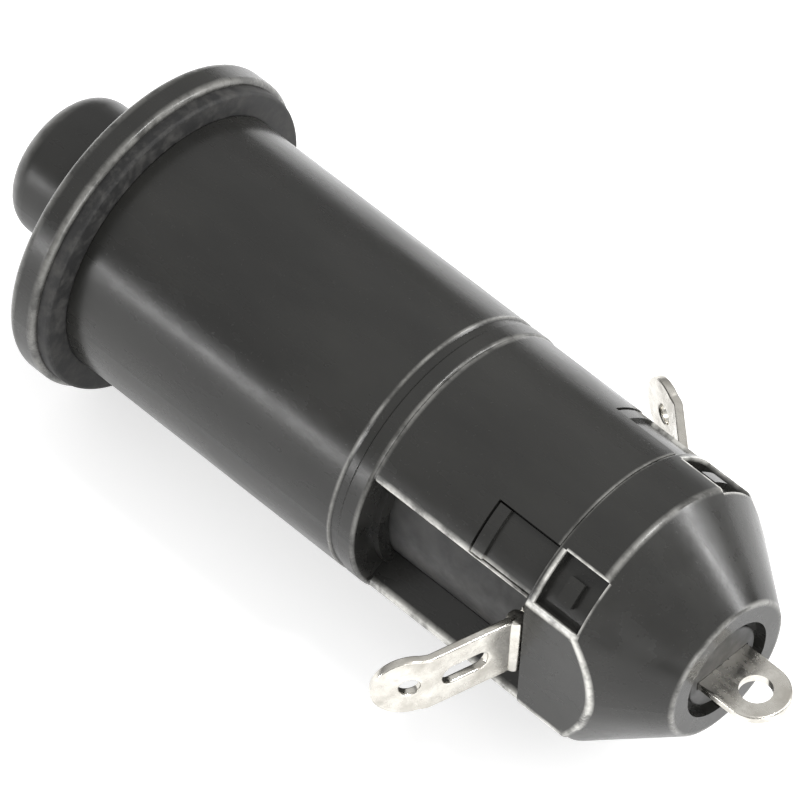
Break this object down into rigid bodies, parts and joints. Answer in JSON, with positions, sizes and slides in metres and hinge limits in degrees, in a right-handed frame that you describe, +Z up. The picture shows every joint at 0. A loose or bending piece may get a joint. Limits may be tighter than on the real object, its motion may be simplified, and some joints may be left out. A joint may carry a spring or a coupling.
{
  "type": "cartridge fuse holder",
  "caption": "Panel-mount holder for a cartridge fuse: flanged round barrel, bayonet knob that draws the fuse out, folding side terminals and a fixed end terminal.",
  "frame": {"origin": "centre of the panel plane, where the gasket under the flange meets the panel", "axes": "+Y along the barrel's axis, away from the knob and towards the end terminal; side terminals on +X and -X; +Z up"},
  "size_m": [0.0406, 0.0841, 0.0312],
  "materials": {
    "black_shell": "moulded phenolic, glossy",
    "black_knob": "moulded phenolic, glossy",
    "liner": "moulded, satin",
    "gasket": "matt",
    "tinned_brass": "tin plated",
    "nickel_brass": "nickel plated",
    "spring_steel": "drawn wire",
    "ceramic": "glazed ceramic",
    "fuse_caps": "nickel plated",
    "copper": "bare copper"
  },
  "bodies": {
    "holder": {"barrel": "black_shell", "panel_gasket": "gasket", "contact_housing": "black_shell", "nose_cap": "black_shell", "inner_liner": "liner", "front_contact": "tinned_brass", "plunger_guide": "liner", "contact_spring": "spring_steel", "rear_contact_disc": "nickel_brass", "end_terminal": "tinned_brass", "end_terminal_rivet": "nickel_brass", "end_terminal_washer": "liner"},
    "cartridge_fuse": {"fuse_tube": "ceramic", "fuse_cap_front": "fuse_caps", "fuse_cap_rear": "fuse_caps", "fuse_element": "copper"},
    "fuse_carrier": {"knob": "black_knob", "knob_seal": "gasket", "fuse_clip": "nickel_brass", "clip_rivet": "nickel_brass"},
    "contact_plunger": {"rear_plunger": "nickel_brass"},
    "terminal_right": {"side_terminal_right": "tinned_brass"},
    "terminal_left": {"side_terminal_left": "tinned_brass"}
  },
  "joints": [
    {"name": "carrier_pull", "type": "slide", "parent": "holder", "child": "cartridge_fuse", "axis": [0, -1, 0], "range_m": [0, 0.046]},
    {"name": "knob_turn", "type": "hinge", "parent": "cartridge_fuse", "child": "fuse_carrier", "pos_m": [0, 0, 0], "axis": [0, 1, 0], "range_deg": [0, 80]},
    {"name": "plunger_travel", "type": "slide", "parent": "holder", "child": "contact_plunger", "axis": [0, 1, 0], "range_m": [0, 0.0025], "stiffness_N_per_m": 300, "deforming": ["contact_spring"]},
    {"name": "terminal_fold_right", "type": "hinge", "parent": "holder", "child": "terminal_right", "pos_m": [0.0102, 0.0496, 0], "axis": [0, 0, -1], "range_deg": [-14, 68]},
    {"name": "terminal_fold_left", "type": "hinge", "parent": "holder", "child": "terminal_left", "pos_m": [-0.0102, 0.0496, 0], "axis": [0, 0, 1], "range_deg": [-48, 34]}
  ]
}
